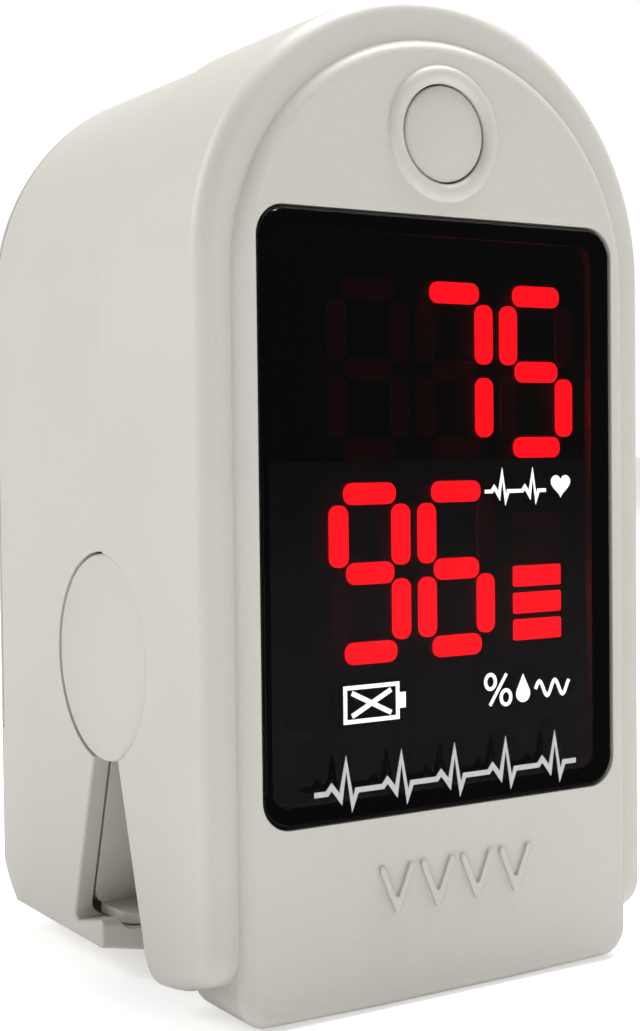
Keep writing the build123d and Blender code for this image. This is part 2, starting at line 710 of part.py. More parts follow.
def detector_board():
    """Small board behind the rear frame that carries the light detector."""
    half = SENSOR_BOARD_W / 2
    near = REAR_FRAME + FRAME_T
    board = block(-half, half, near, near + SENSOR_BOARD_T, SENSOR_Z - half, SENSOR_Z + half)
    return board + block(-1.5, 1.5, near - 0.5, near, SENSOR_Z - 1.5, SENSOR_Z + 1.5)


def detector_window():
    """Clear window over the detector."""
    far = REAR_FRAME + FRAME_T
    chip = block(-1.7, 1.7, far - 0.6, far + 1, SENSOR_Z - 1.7, SENSOR_Z + 1.7)
    return sensor_window(far - 2.1, far) - chip


def rear_screws():
    """Two screws that hold the rear frame to the rear shell."""
    right = screw(*REAR_SCREW, REAR_FRAME + HEAD_T, 4.2, 1)
    return Compound([right, mirror(right, Plane.YZ)])


def battery_cell(x, upright):
    """One cell with a rounded can and a nipple at its positive end."""
    can = Cylinder(CELL_R, CELL_LENGTH, align=(Align.CENTER, Align.CENTER, Align.MIN))
    can = fillet(can.edges().filter_by(GeomType.CIRCLE), 0.5)
    nipple = Cylinder(NIPPLE_R, NIPPLE_H + 0.5, align=(Align.CENTER, Align.CENTER, Align.MIN))
    cell = can + Pos(0, 0, CELL_LENGTH - 0.5) * nipple
    reach = NIPPLE_H + CELL_LENGTH
    if upright:
        return Pos(x, back(CELL_DEPTH), CONTACT_HIGH - reach) * cell
    return Pos(x, back(CELL_DEPTH), CONTACT_LOW + CONTACT_T + reach) * Rot(180, 0, 0) * cell


def battery_springs():
    """Coiled contacts, one at the flat end of each cell."""
    height = COIL_GAP - 2 * COIL_WIRE_R
    coil = Helix(pitch=height / COIL_TURNS, height=height, radius=COIL_R)
    wire = sweep(Plane(origin=coil @ 0, z_dir=coil % 0) * Circle(COIL_WIRE_R), path=coil)
    low = CONTACT_LOW + CONTACT_T + COIL_WIRE_R
    high = CONTACT_HIGH - COIL_WIRE_R - height
    lower = Pos(-CELL_X, back(CELL_DEPTH), low) * wire
    upper = Pos(CELL_X, back(CELL_DEPTH), high) * wire
    return Compound([lower, upper])


def battery_contacts():
    """Four plates that the cells and their coiled contacts press on."""
    near = CELL_DEPTH - 3.2
    far = CELL_DEPTH + 3.2
    plates = []
    for x in (-CELL_X, CELL_X):
        for low in (CONTACT_LOW, CONTACT_HIGH):
            plates.append(block(x - 3.8, x + 3.8, near, far, low, low + CONTACT_T))
    return Compound(plates)


def left_twin(solid):
    """Left-hand twin of a right-hand piece."""
    return mirror(solid, Plane.YZ)


nodes = {
    "front_shell": front_shell(),
    "display_window": display_window(),
    "led_display_module": led_display_module(),
    "lit_segments": light_windows(True),
    "unlit_segments": light_windows(False),
    "main_board": main_board(),
    "processor_chip": processor_chip(),
    "board_components": board_components(),
    "tact_switch": tact_switch(),
    "switch_plunger": switch_plunger(),
    "power_button": power_button(),
    "front_inner_frame": front_inner_frame(),
    "front_finger_pad": front_finger_pad(),
    "emitter_board": emitter_board(),
    "emitter_window": emitter_window(),
    "front_screws": front_screws(),
    "hinge_pin_right": hinge_pin(),
    "hinge_pin_left": left_twin(hinge_pin()),
    "hinge_cap_right": hinge_cap(),
    "hinge_cap_left": left_twin(hinge_cap()),
    "torsion_spring_right": torsion_spring(),
    "torsion_spring_left": left_twin(torsion_spring()),
    "flex_cable": flex_cable(),
    "rear_shell": rear_shell(),
    "battery_door": battery_door(),
    "rear_inner_frame": rear_inner_frame(),
    "rear_finger_pad": rear_finger_pad(),
    "detector_board": detector_board(),
    "detector_window": detector_window(),
    "rear_screws": rear_screws(),
    "battery_cell_left": battery_cell(-CELL_X, True),
    "battery_cell_right": battery_cell(CELL_X, False),
    "battery_springs": battery_springs(),
    "battery_contacts": battery_contacts(),
}

os.makedirs("parts", exist_ok=True)
for name, solid in nodes.items():
    export_step(solid, f"parts/{name}.step")
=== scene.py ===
import math

import bmesh
import bpy
from mathutils import Matrix, Vector


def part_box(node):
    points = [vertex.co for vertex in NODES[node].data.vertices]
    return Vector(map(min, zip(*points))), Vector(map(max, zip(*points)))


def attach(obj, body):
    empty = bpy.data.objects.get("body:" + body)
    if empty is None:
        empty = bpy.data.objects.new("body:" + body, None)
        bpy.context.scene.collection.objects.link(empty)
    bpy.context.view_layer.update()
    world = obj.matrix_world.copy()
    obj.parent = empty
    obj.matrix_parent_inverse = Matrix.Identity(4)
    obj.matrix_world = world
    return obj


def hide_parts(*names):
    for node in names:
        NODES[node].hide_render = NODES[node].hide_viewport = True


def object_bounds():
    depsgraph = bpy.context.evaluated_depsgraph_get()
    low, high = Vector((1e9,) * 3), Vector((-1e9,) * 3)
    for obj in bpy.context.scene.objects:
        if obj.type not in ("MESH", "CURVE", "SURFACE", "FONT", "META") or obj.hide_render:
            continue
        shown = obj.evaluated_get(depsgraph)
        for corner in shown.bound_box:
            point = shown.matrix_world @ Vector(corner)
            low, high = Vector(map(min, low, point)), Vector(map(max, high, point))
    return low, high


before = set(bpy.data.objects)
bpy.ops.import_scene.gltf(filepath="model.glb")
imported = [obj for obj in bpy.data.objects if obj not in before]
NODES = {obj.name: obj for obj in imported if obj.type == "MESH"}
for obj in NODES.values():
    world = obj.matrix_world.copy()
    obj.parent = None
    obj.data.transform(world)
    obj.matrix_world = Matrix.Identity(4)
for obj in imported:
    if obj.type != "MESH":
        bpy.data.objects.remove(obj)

# Fingertip pulse oximeter, in metres. The display faces -Y, the battery door +Y and the finger
# mouth +Z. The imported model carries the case, and this script adds finishes, prints and pads.
MM = 0.001
cad_low, cad_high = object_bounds()

# The display window's front plane, and how thick the printed ink is.
FACE_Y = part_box("display_window")[0].y
PRINT_T = 0.04 * MM


# ---------------------------------------------------------------- materials


class Shader:
    """A Principled material with short ways to add nodes to it."""

    def __init__(self, name):
        self.material = bpy.data.materials.new(name)
        self.material.use_nodes = True
        self.tree = self.material.node_tree
        self.bsdf = self.tree.nodes["Principled BSDF"]
        self.place = self.add("ShaderNodeTexCoord").outputs["Object"]

    def add(self, kind, **settings):
        node = self.tree.nodes.new(kind)
        for key, value in settings.items():
            setattr(node, key, value)
        return node

    def link(self, output, target):
        self.tree.links.new(output, target)

    def set(self, **values):
        """Set plain values on the shader's sockets, named with underscores."""
        for key, value in values.items():
            self.bsdf.inputs[key.replace("_", " ")].default_value = value

    def stretched(self, scale):
        """Object coordinates, scaled apart along the three axes."""
        mapping = self.add("ShaderNodeMapping")
        mapping.inputs["Scale"].default_value = scale
        self.link(self.place, mapping.inputs["Vector"])
        return mapping.outputs["Vector"]

    def noise(self, scale, detail=2.0, rough=0.5, where=None):
        node = self.add("ShaderNodeTexNoise")
        node.inputs["Scale"].default_value = scale
        node.inputs["Detail"].default_value = detail
        node.inputs["Roughness"].default_value = rough
        self.link(where or self.place, node.inputs["Vector"])
        return node.outputs["Fac"]

    def ramp(self, source, low, high, bottom, top):
        """Colour from one stop to another while the source goes from low to high."""
        node = self.add("ShaderNodeValToRGB")
        stops = node.color_ramp.elements
        stops[0].position, stops[0].color = low, (*bottom, 1)
        stops[1].position, stops[1].color = high, (*top, 1)
        self.link(source, node.inputs["Fac"])
        return node.outputs["Color"]

    def scaled(self, source, low, high, bottom, top):
        """Value from bottom to top while the source goes from low to high."""
        node = self.add("ShaderNodeMapRange")
        for key, value in (("From Min", low), ("From Max", high), ("To Min", bottom), ("To Max", top)):
            node.inputs[key].default_value = value
        self.link(source, node.inputs["Value"])
        return node.outputs["Result"]

    def mixed(self, factor, first, second, kind="MIX"):
        """Blend two colours, each a socket or plain numbers."""
        node = self.add("ShaderNodeMix", data_type="RGBA", blend_type=kind)
        for socket, value in ((node.inputs[0], factor), (node.inputs[6], first), (node.inputs[7], second)):
            if isinstance(value, bpy.types.NodeSocket):
                self.link(value, socket)
            else:
                socket.default_value = value if isinstance(value, float) else (*value, 1)
        return node.outputs[2]

    def bump(self, height, depth, edge=0.0):
        """Bump of a depth in metres, over softened edges if a radius is given."""
        node = self.add("ShaderNodeBump")
        node.inputs["Distance"].default_value = depth
        self.link(height, node.inputs["Height"])
        if edge:
            soft = self.add("ShaderNodeBevel", samples=6)
            soft.inputs["Radius"].default_value = edge
            self.link(soft.outputs["Normal"], node.inputs["Normal"])
        self.link(node.outputs["Normal"], self.bsdf.inputs["Normal"])


def moulded(name, colour, roughness, grain=0.006, edge=0.0):
    """Injection-moulded plastic: a fine spark-eroded grain over faint flow marks."""
    shader = Shader(name)
    broad = shader.noise(70, 3)
    fine = shader.noise(5200, 4, 0.62)
    darker = tuple(0.965 * c for c in colour)
    tone = shader.ramp(broad, 0.35, 0.65, darker, colour)
    speck = shader.ramp(fine, 0.3, 0.7, (0.94, 0.94, 0.94), (1, 1, 1))
    shader.link(shader.mixed(1.0, tone, speck, "MULTIPLY"), shader.bsdf.inputs["Base Color"])
    gloss = shader.scaled(fine, 0.3, 0.7, roughness - 0.05, roughness + 0.06)
    shader.link(gloss, shader.bsdf.inputs["Roughness"])
    shader.bump(fine, grain * MM, edge)
    return shader.material


CASE_COLOUR = (0.49, 0.472, 0.432)
CAP_COLOUR = (0.485, 0.472, 0.435)
BUTTON_COLOUR = (0.475, 0.458, 0.42)
FRAME_COLOUR = (0.50, 0.475, 0.42)
LIT_GLOW = 17
UNLIT_GLOW = 0.05
CREASE = math.radians(29)


def case_plastic():
    return moulded("case_plastic", CASE_COLOUR, 0.42, edge=0.12 * MM)


def cap_plastic():
    return moulded("cap_plastic", CAP_COLOUR, 0.36, 0.003)


def button_plastic():
    return moulded("button_plastic", BUTTON_COLOUR, 0.33, 0.002)


def frame_plastic():
    return moulded("frame_plastic", FRAME_COLOUR, 0.48, edge=0.08 * MM)


def dark_plastic(name, colour, roughness):
    return moulded(name, colour, roughness, 0.004)


def smoked_acrylic():
    """Dark see-through window with a trace of haze from polishing."""
    shader = Shader("smoked_acrylic")
    shader.set(Transmission_Weight=1.0, IOR=1.49, Specular_IOR_Level=0.03)
    shader.bsdf.inputs["Base Color"].default_value = (0.08, 0.07, 0.075, 1)
    shader.link(shader.scaled(shader.noise(900, 3), 0.3, 0.7, 0.0, 0.012), shader.bsdf.inputs["Roughness"])
    return shader.material


def light_window(name, colour, glow, strength):
    """Diffusing light window with a cloudy tone, glowing evenly at the given strength."""
    shader = Shader(name)
    shader.set(Roughness=0.35)
    cloud = shader.noise(1400, 2)
    dimmer = tuple(0.8 * c for c in colour)
    shader.link(shader.ramp(cloud, 0.3, 0.7, dimmer, colour), shader.bsdf.inputs["Base Color"])
    shader.bsdf.inputs["Emission Color"].default_value = (*glow, 1)
    shader.bsdf.inputs["Emission Strength"].default_value = strength
    return shader.material


def ink_with_painted_glow(name, colour, strength):
    """Screen-printed ink with a painted glow: a faint emission of the ink's own colour."""
    shader = Shader(name)
    shader.set(Roughness=0.55)
    speck = shader.noise(4200, 3)
    thin = tuple(0.9 * c for c in colour)
    shader.link(shader.ramp(speck, 0.3, 0.7, thin, colour), shader.bsdf.inputs["Base Color"])
    # Painted glow: the ink emits a little light of its own colour.
    shader.bsdf.inputs["Emission Color"].default_value = (*colour, 1)
    shader.bsdf.inputs["Emission Strength"].default_value = strength
    return shader.material


def silicone():
    """Soft matt silicone with fine dust on it."""
    shader = Shader("pad_silicone")
    shader.set(Specular_IOR_Level=0.35, Sheen_Weight=0.25, Sheen_Roughness=0.5)
    broad = shader.noise(160, 4)
    fine = shader.noise(6500, 3)
    dusty = shader.ramp(broad, 0.3, 0.7, (0.27, 0.27, 0.265), (0.33, 0.33, 0.32))
    shader.link(dusty, shader.bsdf.inputs["Base Color"])
    shader.link(shader.scaled(broad, 0.3, 0.7, 0.62, 0.74), shader.bsdf.inputs["Roughness"])
    shader.bump(fine, 0.008 * MM)
    return shader.material


def metal(name, colour, roughness, along):
    """Metal with fine draw lines. The scale is small along the lines."""
    shader = Shader(name)
    shader.set(Metallic=1.0)
    lines = shader.noise(1.0, 3, 0.6, shader.stretched(along))
    darker = tuple(0.82 * c for c in colour)
    shader.link(shader.ramp(lines, 0.3, 0.7, darker, colour), shader.bsdf.inputs["Base Color"])
    gloss = shader.scaled(lines, 0.3, 0.7, roughness - 0.06, roughness + 0.1)
    shader.link(gloss, shader.bsdf.inputs["Roughness"])
    shader.bump(lines, 0.002 * MM)
    return shader.material


def clear_lens():
    """Clear window over a light chip."""
    shader = Shader("sensor_lens")
    shader.set(Transmission_Weight=1.0, IOR=1.5)
    shader.bsdf.inputs["Base Color"].default_value = (0.85, 0.83, 0.78, 1)
    shader.link(shader.scaled(shader.noise(1200, 3), 0.3, 0.7, 0.02, 0.07), shader.bsdf.inputs["Roughness"])
    return shader.material


def circuit_board():
    """Green solder resist over faint copper runs."""
    shader = Shader("circuit_board")
    runs = shader.add("ShaderNodeTexBrick", offset=0.37, squash=0.6)
    runs.inputs["Scale"].default_value = 420
    runs.inputs["Mortar Size"].default_value = 0.012
    turned = shader.add("ShaderNodeMapping")
    turned.inputs["Rotation"].default_value = (math.radians(90), 0, 0)
    shader.link(shader.place, turned.inputs["Vector"])
    shader.link(turned.outputs["Vector"], runs.inputs["Vector"])
    resist = shader.ramp(shader.noise(300, 3), 0.3, 0.7, (0.012, 0.10, 0.035), (0.018, 0.14, 0.05))
    copper = shader.mixed(runs.outputs["Fac"], resist, (0.04, 0.22, 0.08))
    shader.link(copper, shader.bsdf.inputs["Base Color"])
    shader.set(Roughness=0.32)
    shader.bump(runs.outputs["Fac"], 0.02 * MM)
    return shader.material


def ribbon_film():
    """Amber film with copper lines that run along it."""
    shader = Shader("ribbon_film")
    split = shader.add("ShaderNodeSeparateXYZ")
    shader.link(shader.place, split.inputs["Vector"])
    wave = shader.add("ShaderNodeMath", operation="SINE")
    pitch = shader.add("ShaderNodeMath", operation="MULTIPLY")
    pitch.inputs[1].default_value = 2 * math.pi / (0.8 * MM)
    shader.link(split.outputs["X"], pitch.inputs[0])
    shader.link(pitch.outputs[0], wave.inputs[0])
    stripes = shader.ramp(wave.outputs[0], 0.35, 0.6, (0.42, 0.18, 0.03), (0.55, 0.30, 0.10))
    shader.link(stripes, shader.bsdf.inputs["Base Color"])
    shader.set(Roughness=0.28)
    shader.bump(shader.noise(2500, 2), 0.004 * MM)
    return shader.material


def cell_can(low, high):
    """Printed battery sleeve: a dark body and a copper shoulder, with bare ends."""
    shader = Shader("cell_can")
    split = shader.add("ShaderNodeSeparateXYZ")
    shader.link(shader.place, split.inputs["Vector"])
    height = shader.scaled(split.outputs["Z"], low, high, 0.0, 1.0)
    band = shader.add("ShaderNodeValToRGB")
    band.color_ramp.interpolation = "CONSTANT"
    stops = band.color_ramp.elements
    stops[0].position, stops[0].color = 0.0, (0.55, 0.54, 0.52, 1)
    stops[1].position, stops[1].color = 0.03, (0.62, 0.29, 0.12, 1)
    for position, colour in ((0.30, (0.02, 0.022, 0.026, 1)), (0.965, (0.55, 0.54, 0.52, 1))):
        stops.new(position).color = colour
    shader.link(height, band.inputs["Fac"])
    worn = shader.ramp(shader.noise(900, 4), 0.3, 0.7, (0.86, 0.86, 0.86), (1, 1, 1))
    shader.link(shader.mixed(1.0, band.outputs["Color"], worn, "MULTIPLY"), shader.bsdf.inputs["Base Color"])
    shader.set(Metallic=0.7, Roughness=0.28)
    shader.bump(shader.noise(3000, 2), 0.003 * MM)
    return shader.material


# ---------------------------------------------------------------- CAD finishes


def smoothing():
    """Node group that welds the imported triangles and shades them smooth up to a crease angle."""
    tree = bpy.data.node_groups.new("smooth_skin", "GeometryNodeTree")
    tree.interface.new_socket("Geometry", in_out="INPUT", socket_type="NodeSocketGeometry")
    tree.interface.new_socket("Geometry", in_out="OUTPUT", socket_type="NodeSocketGeometry")
    enter = tree.nodes.new("NodeGroupInput")
    leave = tree.nodes.new("NodeGroupOutput")
    weld = tree.nodes.new("GeometryNodeMergeByDistance")
    weld.inputs["Distance"].default_value = 1e-7
    faces = tree.nodes.new("GeometryNodeSetShadeSmooth")
    faces.domain = "FACE"
    edges = tree.nodes.new("GeometryNodeSetShadeSmooth")
    edges.domain = "EDGE"
    angle = tree.nodes.new("GeometryNodeInputMeshEdgeAngle")
    limit = tree.nodes.new("FunctionNodeCompare")
    limit.operation = "LESS_THAN"
    limit.inputs[1].default_value = CREASE
    tree.links.new(enter.outputs[0], weld.inputs["Geometry"])
    tree.links.new(weld.outputs[0], faces.inputs["Geometry"])
    tree.links.new(faces.outputs[0], edges.inputs["Geometry"])
    tree.links.new(angle.outputs["Unsigned Angle"], limit.inputs[0])
    tree.links.new(limit.outputs[0], edges.inputs["Shade Smooth"])
    tree.links.new(edges.outputs[0], leave.inputs[0])
    return tree


def smooth(piece, group):
    """Clean shading for a mesh, without touching its vertices."""
    skin = piece.modifiers.new("smooth_skin", "NODES")
    skin.node_group = group
    even = piece.modifiers.new("even_normals", "WEIGHTED_NORMAL")
    even.keep_sharp = True
    even.weight = 50


def finish_nodes(finishes):
    """Give every CAD node's slots their finish, and clean shading."""
    group = smoothing()
    for name, material in finishes.items():
        node = NODES[name]
        for slot in node.material_slots:
            slot.material = material
        smooth(node, group)


def shared(material, *names):
    return {name: material for name in names}


def cad_finishes():
    steel = metal("screw_steel", (0.42, 0.42, 0.43), 0.3, (3000, 3000, 3000))
    ground = metal("pin_steel", (0.56, 0.56, 0.57), 0.22, (200, 4000, 4000))
    wire = metal("spring_steel", (0.5, 0.49, 0.47), 0.25, (1500, 5000, 5000))
    nickel = metal("contact_metal", (0.66, 0.63, 0.57), 0.26, (300, 3000, 3000))
    board = circuit_board()
    lens = clear_lens()
    cap = cap_plastic()
    case = case_plastic()
    lit = light_window("lit_segment", (0.8, 0.01, 0.02), (1.0, 0.004, 0.01), LIT_GLOW)
    unlit = light_window("unlit_segment", (0.2, 0.01, 0.02), (1.0, 0.02, 0.06), UNLIT_GLOW)
    finishes = shared(case, "front_shell", "rear_shell", "battery_door")
    finishes |= shared(frame_plastic(), "front_inner_frame", "rear_inner_frame")
    finishes |= shared(cap, "hinge_cap_right", "hinge_cap_left")
    finishes |= shared(button_plastic(), "power_button")
    finishes |= shared(smoked_acrylic(), "display_window")
    finishes |= shared(dark_plastic("module_plastic", (0.012, 0.011, 0.012), 0.4), "led_display_module")
    finishes |= shared(lit, "lit_segments")
    finishes |= shared(unlit, "unlit_segments")
    finishes |= shared(board, "main_board", "emitter_board", "detector_board")
    finishes |= shared(dark_plastic("chip_epoxy", (0.02, 0.02, 0.021), 0.5), "processor_chip")
    finishes |= shared(dark_plastic("component_ceramic", (0.20, 0.15, 0.10), 0.45), "board_components")
    finishes |= shared(dark_plastic("switch_body", (0.03, 0.03, 0.03), 0.4), "tact_switch")
    finishes |= shared(dark_plastic("plunger_plastic", (0.3, 0.3, 0.29), 0.4), "switch_plunger")
    finishes |= shared(lens, "emitter_window", "detector_window")
    finishes |= shared(steel, "front_screws", "rear_screws")
    finishes |= shared(ground, "hinge_pin_right", "hinge_pin_left")
    finishes |= shared(wire, "torsion_spring_right", "torsion_spring_left")
    finishes |= shared(nickel, "battery_springs", "battery_contacts")
    finishes |= shared(ribbon_film(), "flex_cable")
    low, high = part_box("battery_cell_left")
    finishes |= shared(cell_can(low.z, high.z), "battery_cell_left", "battery_cell_right")
    return finishes


# ---------------------------------------------------------------- prints on the window


# Widths of the printed strokes, and the height of the title's line, in millimetres.
FINE_STROKE = 0.22
BOLD_STROKE = 0.28
TITLE_STROKE = 0.3
TITLE_Z = 12.75


def make_piece(name, bm, material):
    """Object from a bmesh, with outward faces."""
    bmesh.ops.recalc_face_normals(bm, faces=bm.faces)
    mesh = bpy.data.meshes.new(name)
    bm.to_mesh(mesh)
    bm.free()
    mesh.materials.append(material)
    piece = bpy.data.objects.new(name, mesh)
    bpy.context.scene.collection.objects.link(piece)
    return piece


def on_window(x, z, lift):
    """Point on the window's front, from millimetres across and up, raised by a lift in metres."""
    return Vector((x * MM, FACE_Y - lift, z * MM))


def add_plate(bm, outline):
    """Thin solid of ink over a closed outline."""
    top = [bm.verts.new(on_window(x, z, PRINT_T)) for x, z in outline]
    bottom = [bm.verts.new(on_window(x, z, 0)) for x, z in outline]
    bm.faces.new(top)
    bm.faces.new(list(reversed(bottom)))
    count = len(outline)
    for i in range(count):
        j = (i + 1) % count
        bm.faces.new((top[i], bottom[i], bottom[j], top[j]))


def offsets(points, half, closed):
    """Left and right edges of a stroke along points, with mitred corners."""
    count = len(points)
    sides = ([], [])
    for i, (x, z) in enumerate(points):
        before = points[i - 1] if closed or i > 0 else None
        after = points[(i + 1) % count] if closed or i < count - 1 else None
        runs = []
        for start, end in ((before, (x, z)), ((x, z), after)):
            if start is None or end is None:
                continue
            run = Vector((end[0] - start[0], end[1] - start[1])).normalized()
            runs.append(Vector((-run.y, run.x)))
        normal = sum(runs, Vector((0, 0))).normalized()
        reach = half / max(normal.dot(runs[0]), 0.35)
        for side, sign in zip(sides, (1, -1)):
            side.append((x + sign * reach * normal.x, z + sign * reach * normal.y))
    return sides


def add_stroke(bm, points, width, closed=False):
    """Thin solid of ink along a line."""
    left, right = offsets(points, width / 2, closed)
    rings = []
    for side in (left, right):
        for lift in (PRINT_T, 0):
            rings.append([bm.verts.new(on_window(x, z, lift)) for x, z in side])
    left_top, left_low, right_top, right_low = rings
    count = len(points)
    for i in range(count if closed else count - 1):
        j = (i + 1) % count
        bm.faces.new((left_top[i], left_top[j], right_top[j], right_top[i]))
        bm.faces.new((left_low[i], right_low[i], right_low[j], left_low[j]))
        bm.faces.new((left_top[i], left_low[i], left_low[j], left_top[j]))
        bm.faces.new((right_top[i], right_top[j], right_low[j], right_low[i]))
    if not closed:
        for i in (0, count - 1):
            bm.faces.new((left_top[i], right_top[i], right_low[i], left_low[i]))


def oval(x, z, wide, tall, count=28):
    """Points round an ellipse."""
    turns = [2 * math.pi * i / count for i in range(count)]
    return [(x + wide / 2 * math.cos(t), z + tall / 2 * math.sin(t)) for t in turns]


def heart(x, z, wide):
    """Points round a heart whose middle is at x, z."""
    points = []
    for i in range(40):
        t = 2 * math.pi * i / 40
        across = 16 * math.sin(t) ** 3
        up = 13 * math.cos(t) - 5 * math.cos(2 * t) - 2 * math.cos(3 * t) - math.cos(4 * t)
        points.append((x + wide / 32 * across, z + wide / 32 * (up + 2.5)))
    return points


def drop(x, z, tall):
    """Points round a drop that stands on its round end."""
    radius = 0.31 * tall
    centre = z - tall / 2 + radius
    points = [(x, z + tall / 2)]
    for i in range(25):
        t = math.radians(28 - 236 * i / 24)
        points.append((x + radius * math.cos(t), centre + radius * math.sin(t)))
    return points


def beat(x, z, wide, tall):
    """Points of one heartbeat on a trace, from its left end."""
    shape = ((0, 0), (0.22, 0), (0.3, 0.16), (0.38, 0), (0.46, -0.18))
    shape += ((0.56, 0.72), (0.67, -0.36), (0.75, 0), (1, 0))
    return [(x + wide * u, z + tall * v) for u, v in shape]


def print_piece(name, draw, material):
    """One printed piece on the display window."""
    bm = bmesh.new()
    draw(bm)
    piece = make_piece(name, bm, material)
    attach(piece, "front_half")


def draw_title(bm):
    """A line of heartbeats along the window's foot."""
    beats = 5
    start, end = -9.3, 9.5
    wide = (end - start) / beats
    points = []
    for i in range(beats):
        points += beat(start + i * wide, TITLE_Z, wide, 2.2)[(1 if i else 0):]
    add_stroke(bm, points, TITLE_STROKE)


def draw_pulse_label(bm):
    """A short beat beside a heart."""
    for left in (2.7, 5.0):
        add_stroke(bm, beat(left, 29.25, 2.3, 1.5), FINE_STROKE)


def draw_heart(bm):
    add_plate(bm, heart(8.45, 29.45, 1.5))


def draw_percent(bm):
    """A percent sign."""
    for x, z in ((3.0, 18.05), (4.15, 17.05)):
        add_stroke(bm, oval(x, z, 0.72, 0.85), FINE_STROKE, True)
    add_stroke(bm, [(2.95, 16.65), (4.2, 18.45)], 0.2)


def draw_drop(bm):
    add_plate(bm, drop(5.45, 17.5, 1.7))


def draw_wave(bm):
    """A small wave that stands for the light's two colours."""
    points = [(6.4 + 0.1 * i, 17.35 + 0.45 * math.sin(2 * math.pi * i / 12)) for i in range(27)]
    add_stroke(bm, points, FINE_STROKE)


def draw_battery(bm):
    """Battery outline with a cross in it."""
    left, right, low, high = -7.2, -3.65, 16.6, 18.5
    add_stroke(bm, [(left, low), (right, low), (right, high), (left, high)], 0.24, True)
    add_stroke(bm, [(right + 0.35, 17.1), (right + 0.35, 18.0)], 0.4)
    add_stroke(bm, [(left + 0.45, low + 0.3), (right - 0.45, high - 0.3)], BOLD_STROKE)
    add_stroke(bm, [(left + 0.45, high - 0.3), (right - 0.45, low + 0.3)], BOLD_STROKE)


def add_prints():
    # Each ink's last number is the strength of its painted glow.
    white = ink_with_painted_glow("print_white_painted_glow", (0.80, 0.79, 0.80), 0.35)
    grey = ink_with_painted_glow("print_grey_painted_glow", (0.42, 0.42, 0.44), 0.1)
    print_piece("print_trace", draw_title, grey)
    print_piece("print_pulse", draw_pulse_label, white)
    print_piece("print_heart", draw_heart, white)
    print_piece("print_percent", draw_percent, white)
    print_piece("print_drop", draw_drop, white)
    print_piece("print_wave", draw_wave, white)
    print_piece("print_battery", draw_battery, white)


# ---------------------------------------------------------------- finger pads


# Both pads, in millimetres. Depths count back from the display window's front plane.
PAD_LOW = 23.2
PAD_ARCH_Z = 42.05
PAD_CORNER = 2.0
PAD_EDGE = 0.7
PAD_COLUMNS = 84
PAD_ROWS = 110
LIP_HEIGHT = 0.18
LIP_WIDTH = 0.3
RIB_HEIGHT = 0.11
RIB_PITCH = 1.9
FINGER_DEPTH = 13.4
FINGER_HALF = 8.5
FINGER_DEEP = 3.4
FINGER_END = 24.6
FINGER_FADE = 2.4
LENS_Z = 36.0
LENS_HALF = 3.0
LENS_CORNER = 0.5
CUTTER_LENGTH = 30
PAD_FIT = 0.002
PAD_TIP_CUT = 0.03


def inside_arch(half, x, z):
    """Distance in millimetres from the pad's outline, counted inwards."""
    if z > PAD_ARCH_Z:
        return half - math.hypot(x, z - PAD_ARCH_Z)
    from_side = half - PAD_CORNER - abs(x)
    from_base = z - PAD_LOW - PAD_CORNER
    if from_side < 0 and from_base < 0:
        return PAD_CORNER - math.hypot(from_side, from_base)
    return min(from_side, from_base) + PAD_CORNER


def half_width(half, z):
    """Half the pad's width at a height."""
    if z > PAD_ARCH_Z:
        return math.sqrt(max(half**2 - (z - PAD_ARCH_Z) ** 2, 0))
    rise = max(PAD_LOW + PAD_CORNER - z, 0)
    return half - PAD_CORNER + math.sqrt(PAD_CORNER**2 - rise**2)


def smooth_step(value):
    value = min(max(value, 0), 1)
    return value * value * (3 - 2 * value)


def pad_drop(half, top, x, z):
    """How far the pad's skin lies below its flat top: the finger's hollow, ribs, lip and soft edges."""
    reach = min(abs(x) / FINGER_HALF, 1)
    hollow = FINGER_DEEP * math.sqrt(1 - reach**2) - abs(FINGER_DEPTH - top)
    hollow = max(hollow, 0) * smooth_step((z - FINGER_END) / FINGER_FADE)
    around = max(abs(x), abs(z - LENS_Z)) - LENS_HALF
    lip = LIP_HEIGHT * math.exp(-(((around - 0.55) / LIP_WIDTH) ** 2))
    wave = math.cos(2 * math.pi * z / RIB_PITCH)
    ribs = RIB_HEIGHT * smooth_step((around - 1.1) / 0.6) * wave * smooth_step(hollow)
    near_edge = min(max(inside_arch(half, x, z), 0), PAD_EDGE)
    edge = PAD_EDGE - math.sqrt(PAD_EDGE**2 - (PAD_EDGE - near_edge) ** 2)
    return max(hollow - ribs - lip * smooth_step(hollow), 0) + edge


def pad_rows():
    """Heights of the pad's rows, closer together at both ends."""
    return [0.5 - 0.5 * math.cos(math.pi * i / PAD_ROWS) for i in range(PAD_ROWS + 1)]


